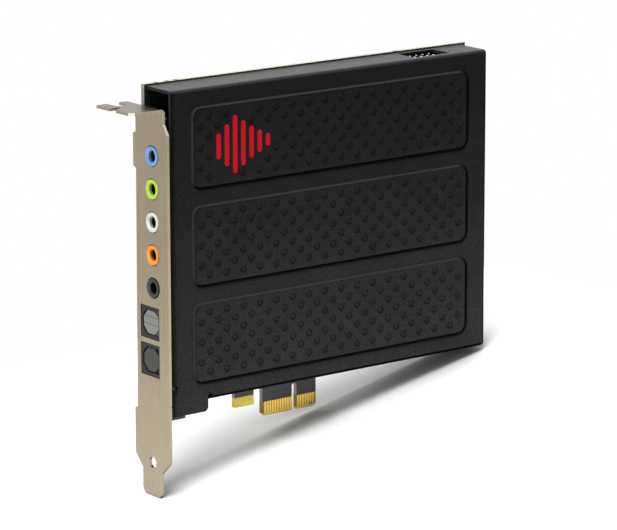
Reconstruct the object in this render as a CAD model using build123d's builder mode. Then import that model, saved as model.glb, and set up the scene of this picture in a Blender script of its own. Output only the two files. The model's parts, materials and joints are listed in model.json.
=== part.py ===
"""A one-lane expansion sound card: board, folded shield cover, slot bracket, jacks and optical sockets.

Millimetres. The origin is the card's own datum: the middle of the key notch, on the mating edge, in the
board's mid-plane. +X runs along the card away from the bracket, +Z away from the slot, and the component
side faces -Y.
"""

import os

from build123d import *

# Circuit board
BOARD_THICKNESS = 1.57
BOARD_LEFT = -56.45
BOARD_RIGHT = 69.4
BOARD_TOP = 111.15
BOARD_BOTTOM = 11.8
LEG_RIGHT = -42.3
LEG_BOTTOM = 4.45
TAB_LEFT = -23.4
TAB_RIGHT = -15.95
FRONT = -BOARD_THICKNESS / 2
BACK = BOARD_THICKNESS / 2

# Card edge, by the one-lane standard
KEY_WIDTH = 1.9
KEY_TOP = 8.9
LONG_SIDE = 11.65
SHORT_SIDE = 7.65
CORNER_CHAMFER = 1.0
LEAD_IN = 0.45
CONTACT_PITCH = 1.0
FIRST_CONTACT = 1.5
LONG_CONTACTS = 11
SHORT_CONTACTS = 7
LATE_CONTACT = SHORT_CONTACTS - 2
CONTACT_WIDTH = 0.7
CONTACT_BOTTOM = 0.6
CONTACT_TOP = 4.6
LATE_CONTACT_BOTTOM = 1.7
PLATING = 0.06

# Shield cover, one folded and embossed sheet
COVER_SHEET = 1.0
COVER_LEFT = -55.5
COVER_RIGHT = 68.6
COVER_TOP = 110.55
COVER_BOTTOM = 12.95
COVER_FACE = -13.15
COVER_INSIDE = COVER_FACE + COVER_SHEET
FOLD_RADIUS = 1.3
CORNER_RADIUS = 1.2
EAR_RIGHT = -42.4
EAR_BOTTOM = 9.45
EAR_RADIUS = 1.5
RELIEF_X = -41.65
RELIEF_Z = 14.2
RELIEF_RADIUS = 0.75
NOTCH_Z = 18.6
NOTCH_RADIUS = 0.7
EAR_FOLD_DEPTH = 7.0
PORT_LEFT = 40.3
PORT_RIGHT = 54.8
PORT_FRONT = -10.9
PORT_BACK = -2.4
PORT_RADIUS = 0.6

# Raised pads with their studs
PAD_LEFT = -48.25
PAD_RIGHT = 59.8
PAD_HEIGHT = 25.4
PAD_PITCH = 30.4
PAD_MIDDLE_Z = 61.85
PAD_RADIUS = 3.2
PAD_RISE = 0.7
PAD_TAPER = 40
PAD_CENTRES = [PAD_MIDDLE_Z + step * PAD_PITCH for step in (1, 0, -1)]
STUD_PITCH = 6.335
STUD_ROW_PITCH = 3.15
STUD_ROWS = 7
STUD_COLUMNS = 16
STUD_RADIUS = 1.2
STUD_SIDES = 6
STUD_RISE = 0.35
STUD_TAPER = 42
STUD_MIDDLE_X = 5.3
STUD_LIFT = 0.35
# Studs left out of the top pad, row by row, for a smooth field: first and last column
SMOOTH_FIELD = {0: (2, 2), 1: (2, 2), 2: (1, 4), 3: (1, 4), 4: (1, 3), 5: (1, 3), 6: (1, 1)}

# Slot bracket, one folded sheet
BRACKET_SHEET = 0.86
BRACKET_FACE = -58.65
BRACKET_INSIDE = BRACKET_FACE + BRACKET_SHEET
BRACKET_RIGHT = -15.55
BRACKET_LEFT = 2.9
WAIST_LEFT_LOW = 1.5
WAIST_LEFT = 0.85
WAIST_BOTTOM = 10.0
EAR_EDGE = 1.85
SIDE_TAB = 2.3
EAR_EDGE_BOTTOM = 86.1
EAR_EDGE_TOP = 96.2
EDGE_STEP = 0.6
NECK_RIGHT = -13.4
NECK_BOTTOM = 97.7
NECK_CHAMFER_TOP = 100.8
TONGUE_RIGHT = -11.0
TONGUE_LEFT = -1.0
TONGUE_BOTTOM = -16.4
TONGUE_TOP = -8.4
SHOULDER_Z = -4.2
TONGUE_RADIUS = 2.2
TONGUE_HOLE_Y = -6.35
TONGUE_HOLE_Z = -5.7
TONGUE_HOLE_RADIUS = 1.85
SHEAR_NICKS = [13.7, 6.9, -0.7]
SHEAR_NICK_DEPTH = 0.3
SHEAR_NICK_WIDTH = 0.35
FLANGE_TOP = 105.5
FLANGE_OUTER = BRACKET_FACE - 11.43
FLANGE_END = 4.8
FLANGE_CORNER = 1.4
SLOT_WIDTH = 4.42
SLOT_OUTER = -66.25
SLOT_MIDDLE_X = SLOT_OUTER + SLOT_WIDTH / 2
SLOT_CENTRE_Y = 1.2
NICK_LEFT = -5.5
NICK_RIGHT = -2.25
NICK_TIP = (-66.0, -2.4)
BEND_INNER = 0.6
EAR_BEND = 0.3
LUG_LEFT = -53.6
LUG_RIGHT = -46.8
LUG_BOTTOM = 95.0
LUG_TOP = 104.4

# Five 3.5 mm jacks
JACK_NAMES = ["blue", "green", "white", "orange", "black"]
JACK_TOP_Z = 90.4
JACK_PITCH = 10.2
JACK_HEIGHTS = [JACK_TOP_Z - step * JACK_PITCH for step in range(len(JACK_NAMES))]
JACK_Y = -7.6
JACK_FRONT = BRACKET_INSIDE + 0.15
JACK_REAR = -44.6
JACK_FACE = -11.9
JACK_WIDTH = 9.2
JACK_CHAMFER = 0.8
NOSE_FRONT = BRACKET_FACE - 0.3
NOSE_RADIUS = 3.05
NOSE_HOLE_RADIUS = 3.35
PLUG_RADIUS = 1.8
PLUG_FUNNEL = 0.4
JACK_CAVITY_FRONT = -54.6
JACK_CAVITY_REAR = -45.6
JACK_CAVITY_FACE = -10.6
JACK_CAVITY_WIDTH = 6.4
CONTACT_STRIP = 0.3
STRIP_WIDTH = 2.4
STRIP_TOP = -9.6
LEG_WIDTH = 0.9
LEG_END = BACK + 1.1
SIDE_STRIP_Z = 2.75
FRONT_STRIP_X = -52.4
MIDDLE_STRIP_X = -48.9
REAR_STRIP_X = -46.1
LEG_SLOT_MARGIN = 0.3

# Two optical sockets with hinged shutters
OPTICAL_NAMES = {"upper": 38.45, "lower": 26.68}
OPTICAL_FRONT = BRACKET_FACE + 0.15
OPTICAL_REAR = -45.0
OPTICAL_FACE = -10.45
OPTICAL_HEIGHT = 10.0
OPTICAL_MIDDLE_Y = (OPTICAL_FACE + FRONT) / 2
OPTICAL_DEPTH = FRONT - OPTICAL_FACE
WINDOW_MARGIN = 0.1
WINDOW_DEPTH = OPTICAL_DEPTH + 2 * WINDOW_MARGIN
WINDOW_HEIGHT = OPTICAL_HEIGHT + 2 * WINDOW_MARGIN
BEZEL = 0.7
MOUTH_TOP = -9.95
MOUTH_BOTTOM = -1.5
MOUTH_HEIGHT = 7.9
MOUTH_CHAMFER = 2.2
CAVITY_TOP = -10.1
CAVITY_BOTTOM = -1.15
CAVITY_HEIGHT = 8.5
CAVITY_REAR = -48.8
POCKET_FRONT = -47.8
POCKET_SIZE = 6.8
PORT_Y = -5.7
LIGHT_PORT_RADIUS = 1.3
SHUTTER_THICKNESS = 0.7
HINGE_X = OPTICAL_FRONT + BEZEL + 0.5
HINGE_Y = -9.4
SHUTTER_END = -1.35
SHUTTER_HEIGHT = 8.0
KNUCKLE_RADIUS = 0.55
PIN_RADIUS = 0.3
PIN_CLEARANCE = 0.05
PIN_LENGTH = 9.4
COIL_GAP = 3.0
COIL_WIRE = 0.25
COIL_TURNS = 5
COIL_INNER = 0.36

# Fasteners
STANDOFFS = [(-40, 107.3), (63, 107.3), (63, 16.6), (-36, 46.9)]
STANDOFF_RADIUS = 2.2
STANDOFF_SIDES = 6
THREAD_RADIUS = 1.2
THREAD_DEPTH = 6.0
COVER_SCREW_LENGTH = 7.05
SCREW_HOLE_RADIUS = 1.5
HEAD_RADIUS = 2.4
HEAD_HEIGHT = 1.5
HEAD_CHAMFER = 0.5
RECESS_WIDTH = 0.6
RECESS_LENGTH = 2.6
RECESS_DEPTH = 0.7
BRACKET_SCREW = (-50.6, 100.0)

# Pin header under the port in the cover's top wall
HEADER_X = (PORT_LEFT + PORT_RIGHT) / 2
HEADER_PITCH = 2.54
HEADER_COLUMNS = 5
HEADER_ROWS = [-2.6, -5.14]
HEADER_BASE_Z = 101.0
HEADER_PIN = 0.64
HEADER_TIP = 108.4
HEADER_BENDS = [98.6, 96.06]

# Parts soldered on the component face: centres are X, Z on the board
PROCESSOR_CENTRE = (14, 62)
PROCESSOR_SIZE = 23.0
PROCESSOR_BASE = 0.6
PROCESSOR_CAP = 1.1
PROCESSOR_CAP_SIZE = 21.0
PROCESSOR_CAP_TAPER = 10
MEMORY_CENTRE = (14, 86)
MEMORY_SIZE = (20.0, 10.2, 1.1)
MEMORY_LEADS = 9
FLASH_CENTRE = (36, 62)
CONVERTER_CENTRES = [(-21, 88), (-21, 72), (-21, 56)]
CONVERTER_SIZE = (10.2, 5.3, 1.8)
CONVERTER_LEADS = 7
AMPLIFIER_CENTRES = [(-34, 86), (-34, 76), (-34, 66), (-34, 56)]
AMPLIFIER_SIZE = (4.9, 3.9, 1.6)
AMPLIFIER_LEADS = 4
LEAD_WIDTH = 0.4
LEAD_REACH = 1.0
LEAD_RISE = 0.6
LEAD_MARGIN = 0.95
CRYSTAL_CENTRE = (14, 43)
CRYSTAL_SIZE = (11.0, 4.6, 3.6)
REGULATOR_CENTRES = [(46, 28), (46, 42), (34, 28)]
REGULATOR_SIZE = (6.6, 6.1, 2.3)
REGULATOR_TAB = (5.4, 2.6, 0.6)
CAPACITOR_CENTRES = [(-9, 98), (-9, 84), (-9, 70), (-9, 56), (-9, 42), (-33, 30), (-20, 30), (50, 62)]
CAPACITOR_BASE = 6.6
CAPACITOR_BASE_HEIGHT = 0.9
CAPACITOR_RADIUS = 3.15
CAPACITOR_HEIGHT = 7.7
CHIP_LENGTH = 1.6
CHIP_WIDTH = 0.8
CHIP_CAPACITOR_RISE = 0.8
CHIP_RESISTOR_RISE = 0.45
CHIP_CAPACITOR_ROWS = [((14, 76), (4, 1), (5, 1)), ((14, 48), (4, 1), (5, 1)), ((-27, 80), (3, 16), (2, 3))]
CHIP_RESISTOR_ROWS = [((33, 76), (4, 3), (3, 3)), ((-40, 71), (1, 10), (1, 4)), ((14, 34), (4, 3), (4, 2))]

os.makedirs("parts", exist_ok=True)


def board_plane(y):
    """A sketch plane parallel to the board: local X and Y are the card's X and Z, and it faces -Y."""
    return Plane(origin=(0, y, 0), x_dir=(1, 0, 0), z_dir=(0, -1, 0))


def save(part, name):
    """Labels a finished piece and writes its file."""
    part.label = name
    export_step(part, f"parts/{name}.step")


# Where each jack contact's leg goes through the board: X, distance from the jack's axis in Z, and whether
# the strip's broad side faces Z
JACK_STRIPS = [
    (FRONT_STRIP_X, SIDE_STRIP_Z, True),
    (MIDDLE_STRIP_X, -SIDE_STRIP_Z, True),
    (REAR_STRIP_X, 0, False),
]
FIRST_HEADER_X = HEADER_X - (HEADER_COLUMNS - 1) / 2 * HEADER_PITCH
HEADER_XS = [FIRST_HEADER_X + column * HEADER_PITCH for column in range(HEADER_COLUMNS)]

# Circuit board: one outline with the bracket leg, the bare tab and the keyed card edge
with BuildPart() as circuit_board:
    with BuildSketch(board_plane(BACK)):
        with BuildLine():
            Polyline(
                (BOARD_LEFT, LEG_BOTTOM),
                (LEG_RIGHT, LEG_BOTTOM),
                (LEG_RIGHT, BOARD_BOTTOM),
                (TAB_LEFT, BOARD_BOTTOM),
                (TAB_LEFT, LEG_BOTTOM),
                (TAB_RIGHT, LEG_BOTTOM),
                (TAB_RIGHT, BOARD_BOTTOM),
                (-KEY_WIDTH / 2 - LONG_SIDE, BOARD_BOTTOM),
                (-KEY_WIDTH / 2 - LONG_SIDE, CORNER_CHAMFER),
                (-KEY_WIDTH / 2 - LONG_SIDE + CORNER_CHAMFER, 0),
                (KEY_WIDTH / 2 + SHORT_SIDE - CORNER_CHAMFER, 0),
                (KEY_WIDTH / 2 + SHORT_SIDE, CORNER_CHAMFER),
                (KEY_WIDTH / 2 + SHORT_SIDE, BOARD_BOTTOM),
                (BOARD_RIGHT, BOARD_BOTTOM),
                (BOARD_RIGHT, BOARD_TOP),
                (BOARD_LEFT, BOARD_TOP),
                close=True,
            )
        make_face()
        with Locations((0, (KEY_TOP - KEY_WIDTH / 2) / 2)):
            Rectangle(KEY_WIDTH, KEY_TOP - KEY_WIDTH / 2, mode=Mode.SUBTRACT)
        with Locations((0, KEY_TOP - KEY_WIDTH / 2)):
            Circle(KEY_WIDTH / 2, mode=Mode.SUBTRACT)
        with Locations(*STANDOFFS, BRACKET_SCREW):
            Circle(SCREW_HOLE_RADIUS, mode=Mode.SUBTRACT)
        for height in JACK_HEIGHTS:
            for strip_x, strip_z, faces_z in JACK_STRIPS:
                along_x = LEG_WIDTH if faces_z else CONTACT_STRIP
                along_z = CONTACT_STRIP if faces_z else LEG_WIDTH
                with Locations((strip_x, height + strip_z)):
                    Rectangle(along_x + LEG_SLOT_MARGIN, along_z + LEG_SLOT_MARGIN, mode=Mode.SUBTRACT)
        for bend in HEADER_BENDS:
            with Locations(*[(x, bend) for x in HEADER_XS]):
                Rectangle(HEADER_PIN + LEG_SLOT_MARGIN, HEADER_PIN + LEG_SLOT_MARGIN, mode=Mode.SUBTRACT)
    extrude(amount=BOARD_THICKNESS)
    chamfer(circuit_board.edges().filter_by(Axis.X).group_by(Axis.Z)[0], LEAD_IN)
save(circuit_board.part, "circuit_board")

# Gold contacts of the card edge, on both faces
with BuildPart() as edge_contacts:
    for plated_face in (FRONT, BACK + PLATING):
        with BuildSketch(board_plane(plated_face)):
            for index in range(LONG_CONTACTS):
                with Locations((-FIRST_CONTACT - index * CONTACT_PITCH, (CONTACT_BOTTOM + CONTACT_TOP) / 2)):
                    Rectangle(CONTACT_WIDTH, CONTACT_TOP - CONTACT_BOTTOM)
            for index in range(SHORT_CONTACTS):
                bottom = LATE_CONTACT_BOTTOM if index == LATE_CONTACT else CONTACT_BOTTOM
                with Locations((FIRST_CONTACT + index * CONTACT_PITCH, (bottom + CONTACT_TOP) / 2)):
                    Rectangle(CONTACT_WIDTH, CONTACT_TOP - bottom)
        extrude(amount=PLATING)
save(edge_contacts.part, "edge_contacts")

# Shield cover: a folded tray, open to the board and to the bracket
with BuildPart() as shield_cover:
    with BuildSketch(board_plane(FRONT)):
        with Locations(((COVER_LEFT + COVER_RIGHT) / 2, (COVER_BOTTOM + COVER_TOP) / 2)):
            Rectangle(COVER_RIGHT - COVER_LEFT, COVER_TOP - COVER_BOTTOM)
    extrude(amount=FRONT - COVER_FACE)
    fillet(shield_cover.edges().filter_by(Axis.Y).group_by(Axis.X)[-1], CORNER_RADIUS)
    front_edges = shield_cover.faces().sort_by(Axis.Y)[0].edges()
    fillet(front_edges.sort_by(Axis.X)[1:], FOLD_RADIUS)
    open_sides = [shield_cover.faces().sort_by(Axis.Y)[-1], shield_cover.faces().sort_by(Axis.X)[0]]
    offset(amount=-COVER_SHEET, openings=open_sides)
    # The lower fold stops at a relief, and the front carries on down as an ear
    ear_top = COVER_BOTTOM + FOLD_RADIUS + COVER_SHEET / 2
    with BuildSketch(board_plane(FRONT)):
        with Locations(((COVER_LEFT + RELIEF_X) / 2, (COVER_BOTTOM + ear_top) / 2)):
            Rectangle(RELIEF_X - COVER_LEFT, ear_top - COVER_BOTTOM)
    extrude(amount=FRONT - COVER_FACE, mode=Mode.SUBTRACT)
    with BuildSketch(board_plane(COVER_INSIDE)) as ear:
        with Locations(((COVER_LEFT + EAR_RIGHT) / 2, (EAR_BOTTOM + ear_top) / 2)):
            Rectangle(EAR_RIGHT - COVER_LEFT, ear_top - EAR_BOTTOM)
        fillet(ear.vertices().group_by(Axis.X)[-1].sort_by(Axis.Y)[0], EAR_RADIUS)
    extrude(amount=COVER_SHEET)
    # A narrow fold runs in behind the bracket at the ear, below its own relief
    with BuildSketch(Plane.YZ.offset(COVER_LEFT)):
        with Locations((COVER_INSIDE + EAR_FOLD_DEPTH / 2, (EAR_BOTTOM + NOTCH_Z - NOTCH_RADIUS) / 2)):
            Rectangle(EAR_FOLD_DEPTH, NOTCH_Z - NOTCH_RADIUS - EAR_BOTTOM)
    extrude(amount=COVER_SHEET)
    with BuildSketch(board_plane(COVER_INSIDE)):
        with Locations((RELIEF_X, RELIEF_Z), (COVER_LEFT + NOTCH_RADIUS, NOTCH_Z)):
            Circle(RELIEF_RADIUS)
    extrude(amount=COVER_SHEET, mode=Mode.SUBTRACT)
    # Port in the top wall above the pin header
    with BuildSketch(Plane.XY.offset(COVER_TOP - COVER_SHEET)):
        with Locations(((PORT_LEFT + PORT_RIGHT) / 2, (PORT_FRONT + PORT_BACK) / 2)):
            RectangleRounded(PORT_RIGHT - PORT_LEFT, PORT_BACK - PORT_FRONT, PORT_RADIUS)
    extrude(amount=COVER_SHEET, mode=Mode.SUBTRACT)
    # Three pressed pads, hollow behind
    for pad_z in PAD_CENTRES:
        for sheet_face, mode in ((COVER_INSIDE, Mode.SUBTRACT), (COVER_FACE, Mode.ADD)):
            with BuildSketch(board_plane(sheet_face)):
                with Locations(((PAD_LEFT + PAD_RIGHT) / 2, pad_z)):
                    RectangleRounded(PAD_RIGHT - PAD_LEFT, PAD_HEIGHT, PAD_RADIUS)
            extrude(amount=PAD_RISE, taper=PAD_TAPER, mode=mode)
    # Staggered rows of studs on the pads
    for pad_index, pad_z in enumerate(PAD_CENTRES):
        with BuildSketch(board_plane(COVER_FACE - PAD_RISE)):
            for row in range(STUD_ROWS):
                columns = STUD_COLUMNS + row % 2
                smooth_first, smooth_last = SMOOTH_FIELD[row]
                for column in range(columns):
                    if pad_index == 0 and smooth_first <= column <= smooth_last:
                        continue
                    stud_x = STUD_MIDDLE_X + (column - (columns - 1) / 2) * STUD_PITCH
                    stud_z = pad_z + STUD_LIFT + ((STUD_ROWS - 1) / 2 - row) * STUD_ROW_PITCH
                    with Locations((stud_x, stud_z)):
                        RegularPolygon(STUD_RADIUS, STUD_SIDES)
        extrude(amount=STUD_RISE, taper=STUD_TAPER)
save(shield_cover.part, "shield_cover")

# Slot bracket: pierced plate, screw flange folded outwards and fixing ear folded along the board
with BuildPart() as slot_bracket:
    with BuildSketch(Plane.YZ.offset(BRACKET_FACE)) as plate:
        with BuildLine():
            Polyline(
                (NECK_RIGHT, FLANGE_TOP),
                (NECK_RIGHT, NECK_CHAMFER_TOP),
                (BRACKET_RIGHT, NECK_BOTTOM),
                (BRACKET_RIGHT, SHOULDER_Z),
                (TONGUE_RIGHT, TONGUE_TOP),
                (TONGUE_RIGHT, TONGUE_BOTTOM),
                (TONGUE_LEFT, TONGUE_BOTTOM),
                (TONGUE_LEFT, TONGUE_TOP),
                (BRACKET_LEFT, SHOULDER_Z),
                (BRACKET_LEFT, WAIST_BOTTOM),
                (WAIST_LEFT_LOW, WAIST_BOTTOM + EDGE_STEP),
                (WAIST_LEFT, EAR_EDGE_BOTTOM - EDGE_STEP),
                (SIDE_TAB, EAR_EDGE_BOTTOM),
                (SIDE_TAB, EAR_EDGE_TOP),
                (WAIST_LEFT, EAR_EDGE_TOP + EDGE_STEP),
                (WAIST_LEFT, FLANGE_TOP),
                close=True,
            )
        make_face()
        fillet(plate.vertices().group_by(Axis.Y)[0], TONGUE_RADIUS)
        with Locations(*[(JACK_Y, height) for height in JACK_HEIGHTS]):
            Circle(NOSE_HOLE_RADIUS, mode=Mode.SUBTRACT)
        with Locations(*[(OPTICAL_MIDDLE_Y, height) for height in OPTICAL_NAMES.values()]):
            Rectangle(WINDOW_DEPTH, WINDOW_HEIGHT, mode=Mode.SUBTRACT)
        with Locations((TONGUE_HOLE_Y, TONGUE_HOLE_Z)):
            Circle(TONGUE_HOLE_RADIUS, mode=Mode.SUBTRACT)
        with Locations(*[(BRACKET_RIGHT, height) for height in SHEAR_NICKS]):
            Rectangle(2 * SHEAR_NICK_DEPTH, SHEAR_NICK_WIDTH, mode=Mode.SUBTRACT)
    extrude(amount=BRACKET_SHEET)
    with BuildSketch(Plane.XY.offset(FLANGE_TOP - BRACKET_SHEET)) as flange:
        with BuildLine():
            Polyline(
                (BRACKET_INSIDE, NECK_RIGHT),
                (FLANGE_OUTER + FLANGE_CORNER, NECK_RIGHT),
                (FLANGE_OUTER, NECK_RIGHT + FLANGE_CORNER),
                (FLANGE_OUTER, NICK_LEFT),
                NICK_TIP,
                (FLANGE_OUTER, NICK_RIGHT),
                (FLANGE_OUTER, FLANGE_END),
                (BRACKET_INSIDE, FLANGE_END),
                close=True,
            )
        make_face()
        with Locations((SLOT_MIDDLE_X, SLOT_CENTRE_Y)):
            Circle(SLOT_WIDTH / 2, mode=Mode.SUBTRACT)
        with Locations((SLOT_MIDDLE_X, (SLOT_CENTRE_Y + FLANGE_END) / 2)):
            Rectangle(SLOT_WIDTH, FLANGE_END - SLOT_CENTRE_Y, mode=Mode.SUBTRACT)
    extrude(amount=BRACKET_SHEET)
    bend_lines = slot_bracket.edges().filter_by(Axis.Y)
    outer_bend = bend_lines.group_by(Axis.Z)[-1].sort_by(Axis.X)[-1]
    fillet(outer_bend, BEND_INNER + BRACKET_SHEET)
    inner_corner = (BRACKET_FACE, NECK_RIGHT / 2, FLANGE_TOP - BRACKET_SHEET)
    fillet(slot_bracket.edges().filter_by(Axis.Y).sort_by_distance(inner_corner)[0], BEND_INNER)
    with BuildSketch(board_plane(EAR_EDGE)):
        with BuildLine():
            Polyline(
                (BRACKET_FACE, EAR_EDGE_BOTTOM),
                (LUG_LEFT, EAR_EDGE_BOTTOM),
                (LUG_LEFT, LUG_BOTTOM),
                (LUG_RIGHT, LUG_BOTTOM),
                (LUG_RIGHT, LUG_TOP),
                (BOARD_LEFT, LUG_TOP),
                (BOARD_LEFT, EAR_EDGE_TOP),
                (BRACKET_FACE, EAR_EDGE_TOP),
                close=True,
            )
        make_face()
        with Locations(BRACKET_SCREW):
            Circle(THREAD_RADIUS, mode=Mode.SUBTRACT)
    extrude(amount=EAR_EDGE - BACK)
    ear_corner = (BRACKET_INSIDE, EAR_EDGE, (EAR_EDGE_BOTTOM + EAR_EDGE_TOP) / 2)
    fillet(slot_bracket.edges().filter_by(Axis.Z).sort_by_distance(ear_corner)[0], EAR_BEND)
save(slot_bracket.part, "slot_bracket")


def jack_housing(height):
    """One moulded jack body with its nose through the bracket, hollow towards the board."""
    with BuildPart() as housing:
        with BuildSketch(Plane.YZ.offset(JACK_FRONT)):
            with Locations(((JACK_FACE + FRONT) / 2, height)):
                Rectangle(FRONT - JACK_FACE, JACK_WIDTH)
        extrude(amount=JACK_REAR - JACK_FRONT)
        chamfer(housing.edges().filter_by(Axis.X).group_by(Axis.Y)[0], JACK_CHAMFER)
        with BuildSketch(Plane.YZ.offset(NOSE_FRONT)):
            with Locations((JACK_Y, height)):
                Circle(NOSE_RADIUS)
        extrude(amount=JACK_FRONT - NOSE_FRONT)
        with BuildSketch(board_plane(FRONT)):
            with Locations(((JACK_CAVITY_FRONT + JACK_CAVITY_REAR) / 2, height)):
                Rectangle(JACK_CAVITY_REAR - JACK_CAVITY_FRONT, JACK_CAVITY_WIDTH)
        extrude(amount=FRONT - JACK_CAVITY_FACE, mode=Mode.SUBTRACT)
        with BuildSketch(Plane.YZ.offset(NOSE_FRONT)):
            with Locations((JACK_Y, height)):
                Circle(PLUG_RADIUS)
        extrude(amount=JACK_CAVITY_FRONT - NOSE_FRONT, mode=Mode.SUBTRACT)
        mouth = housing.edges().filter_by(GeomType.CIRCLE).group_by(Axis.X)[0].sort_by(SortBy.RADIUS)[0]
        chamfer(mouth, PLUG_FUNNEL)
    return housing.part


def jack_contacts(height):
    """The three sprung strips of one jack, each with a leg through the board."""
    with BuildPart() as strips:
        for strip_x, strip_z, faces_z in JACK_STRIPS:
            wide = Plane.XY if faces_z else Plane(origin=(0, 0, 0), x_dir=(0, 0, 1), z_dir=(1, 0, 0))
            middle = (strip_x, 0, height + strip_z)
            side = Plane(origin=middle, x_dir=wide.x_dir, z_dir=wide.z_dir)
            board_side = 1 if side.y_dir.Y > 0 else -1
            with BuildSketch(side):
                with Locations((0, board_side * (STRIP_TOP + FRONT - LEG_WIDTH) / 2)):
                    Rectangle(STRIP_WIDTH, FRONT - LEG_WIDTH - STRIP_TOP)
                with Locations((0, board_side * (FRONT - LEG_WIDTH + LEG_END) / 2)):
                    Rectangle(LEG_WIDTH, LEG_END - FRONT + LEG_WIDTH)
            extrude(amount=CONTACT_STRIP / 2, both=True)
    return strips.part


for name, height in zip(JACK_NAMES, JACK_HEIGHTS):
    save(jack_housing(height), f"jack_housing_{name}")
    save(jack_contacts(height), f"jack_contacts_{name}")


def plug_outline(top, bottom, height, size):
    """Corner points of an optical plug's section: square on one side, chamfered on the board side."""
    half = size / 2
    return [
        (top, height - half),
        (bottom - MOUTH_CHAMFER, height - half),
        (bottom, height - half + MOUTH_CHAMFER),
        (bottom, height + half - MOUTH_CHAMFER),
        (bottom - MOUTH_CHAMFER, height + half),
        (top, height + half),
    ]


def optical_housing(height):
    """One optical socket: bezel, plug cavity, wall with the light port, and a pocket for the module."""
    with BuildPart() as housing:
        with BuildSketch(Plane.YZ.offset(OPTICAL_FRONT)):
            with Locations((OPTICAL_MIDDLE_Y, height)):
                Rectangle(OPTICAL_DEPTH, OPTICAL_HEIGHT)
        extrude(amount=OPTICAL_REAR - OPTICAL_FRONT)
        with BuildSketch(Plane.YZ.offset(OPTICAL_FRONT)):
            with BuildLine():
                Polyline(*plug_outline(MOUTH_TOP, MOUTH_BOTTOM, height, MOUTH_HEIGHT), close=True)
            make_face()
        extrude(amount=BEZEL, mode=Mode.SUBTRACT)
        with BuildSketch(Plane.YZ.offset(OPTICAL_FRONT + BEZEL)):
            with Locations(((CAVITY_TOP + CAVITY_BOTTOM) / 2, height)):
                Rectangle(CAVITY_BOTTOM - CAVITY_TOP, CAVITY_HEIGHT)
        extrude(amount=CAVITY_REAR - OPTICAL_FRONT - BEZEL, mode=Mode.SUBTRACT)
        with BuildSketch(Plane.YZ.offset(CAVITY_REAR)):
            with Locations((PORT_Y, height)):
                Circle(LIGHT_PORT_RADIUS)
        extrude(amount=POCKET_FRONT - CAVITY_REAR, mode=Mode.SUBTRACT)
        with BuildSketch(Plane.YZ.offset(POCKET_FRONT)):
            with Locations((PORT_Y, height)):
                Rectangle(POCKET_SIZE, POCKET_SIZE)
        extrude(amount=OPTICAL_REAR - POCKET_FRONT, mode=Mode.SUBTRACT)
        with BuildSketch(Plane.XY.offset(height - PIN_LENGTH / 2)):
            with Locations((HINGE_X, HINGE_Y)):
                Circle(PIN_RADIUS)
        extrude(amount=PIN_LENGTH, mode=Mode.SUBTRACT)
    return housing.part


def optical_shutter(height):
    """The sprung door of one socket: a plate on two knuckles, notched for the spring between them."""
    with BuildPart() as shutter:
        with BuildSketch(Plane.YZ.offset(HINGE_X - SHUTTER_THICKNESS / 2)):
            with BuildLine():
                Polyline(*plug_outline(HINGE_Y, SHUTTER_END, height, SHUTTER_HEIGHT), close=True)
            make_face()
        extrude(amount=SHUTTER_THICKNESS)
        with BuildSketch(Plane.XY.offset(height - SHUTTER_HEIGHT / 2)):
            with Locations((HINGE_X, HINGE_Y)):
                Circle(KNUCKLE_RADIUS)
        extrude(amount=SHUTTER_HEIGHT)
        with BuildSketch(Plane.YZ.offset(HINGE_X)):
            with Locations((HINGE_Y, height)):
                Rectangle(2 * (KNUCKLE_RADIUS + COIL_WIRE + COIL_INNER), COIL_GAP)
        extrude(amount=2 * KNUCKLE_RADIUS, both=True, mode=Mode.SUBTRACT)
        with BuildSketch(Plane.XY.offset(height - SHUTTER_HEIGHT / 2)):
            with Locations((HINGE_X, HINGE_Y)):
                Circle(PIN_RADIUS + PIN_CLEARANCE)
        extrude(amount=SHUTTER_HEIGHT, mode=Mode.SUBTRACT)
    return shutter.part


def shutter_pin(height):
    """The steel hinge pin of one shutter."""
    with BuildPart() as pin:
        with BuildSketch(Plane.XY.offset(height - PIN_LENGTH / 2)):
            with Locations((HINGE_X, HINGE_Y)):
                Circle(PIN_RADIUS)
        extrude(amount=PIN_LENGTH)
    return pin.part


def shutter_spring(height):
    """The close-wound torsion coil on one hinge pin."""
    coil_length = COIL_TURNS * COIL_WIRE
    with BuildPart() as coil:
        with BuildSketch(Plane(origin=(HINGE_X, HINGE_Y, height), x_dir=(1, 0, 0), z_dir=(0, -1, 0))):
            with Locations((COIL_INNER + COIL_WIRE / 4, 0)):
                Rectangle(COIL_WIRE / 2, coil_length)
            for turn in range(COIL_TURNS):
                with Locations((COIL_INNER + COIL_WIRE / 2, (turn - (COIL_TURNS - 1) / 2) * COIL_WIRE)):
                    RegularPolygon(COIL_WIRE / 2, 4)
        revolve(axis=Axis((HINGE_X, HINGE_Y, height), (0, 0, 1)))
    return coil.part


def optical_module(height):
    """The light receiver or emitter of one socket, a block with a round lens in the port."""
    with BuildPart() as module:
        with BuildSketch(Plane.YZ.offset(POCKET_FRONT)):
            with Locations((PORT_Y, height)):
                Rectangle(POCKET_SIZE, POCKET_SIZE)
        extrude(amount=OPTICAL_REAR - POCKET_FRONT)
        with BuildSketch(Plane.YZ.offset(CAVITY_REAR)):
            with Locations((PORT_Y, height)):
                Circle(LIGHT_PORT_RADIUS)
        extrude(amount=POCKET_FRONT - CAVITY_REAR)
    return module.part


for name, height in OPTICAL_NAMES.items():
    save(optical_housing(height), f"optical_housing_{name}")
    save(optical_shutter(height), f"optical_shutter_{name}")
    save(shutter_pin(height), f"shutter_pin_{name}")
    save(shutter_spring(height), f"shutter_spring_{name}")
    save(optical_module(height), f"optical_module_{name}")


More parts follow.
